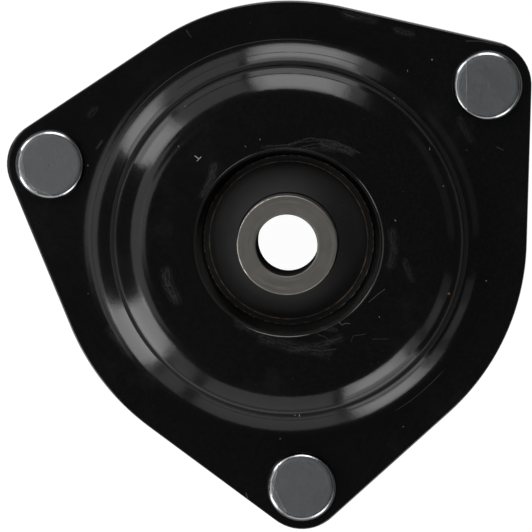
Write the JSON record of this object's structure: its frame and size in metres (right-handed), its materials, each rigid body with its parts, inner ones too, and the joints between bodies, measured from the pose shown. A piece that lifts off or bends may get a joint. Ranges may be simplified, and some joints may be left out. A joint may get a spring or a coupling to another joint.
{
  "type": "strut mount",
  "caption": "Suspension strut top mount: a black pressed plate with a raised hat and studded ears, holding a rubber bush with a bored steel collar.",
  "frame": {"origin": "on the plane that the three stud tips rest on, under the middle of the plate's outline; the bush's axis is 6.8 mm from it towards -Y", "axes": "+Z along the bush's axis towards the spring side, away from the car body; +Y from the bush towards the ear that lies on the outline's line of symmetry"},
  "size_m": [0.1194, 0.1276, 0.0463],
  "materials": {
    "black_gloss_paint": "gloss black paint with fine scratches and dust",
    "black_satin_paint": "satin black paint",
    "phosphated_steel": "dark phosphate coat",
    "black_rubber": "matt moulded rubber with fine flash lines",
    "turned_steel": "turned face, warm grey, faint concentric tool marks",
    "zinc_plated_steel": "zinc plate, satin, bright rounded edges"
  },
  "bodies": {
    "root": {"main_plate": "black_gloss_paint", "top_cover": "black_satin_paint", "outer_ring": "phosphated_steel", "rubber_cushion": "black_rubber", "core_disc": "phosphated_steel", "core_collar": "turned_steel", "stud_1": "zinc_plated_steel", "stud_2": "zinc_plated_steel", "stud_3": "zinc_plated_steel"}
  },
  "joints": []
}
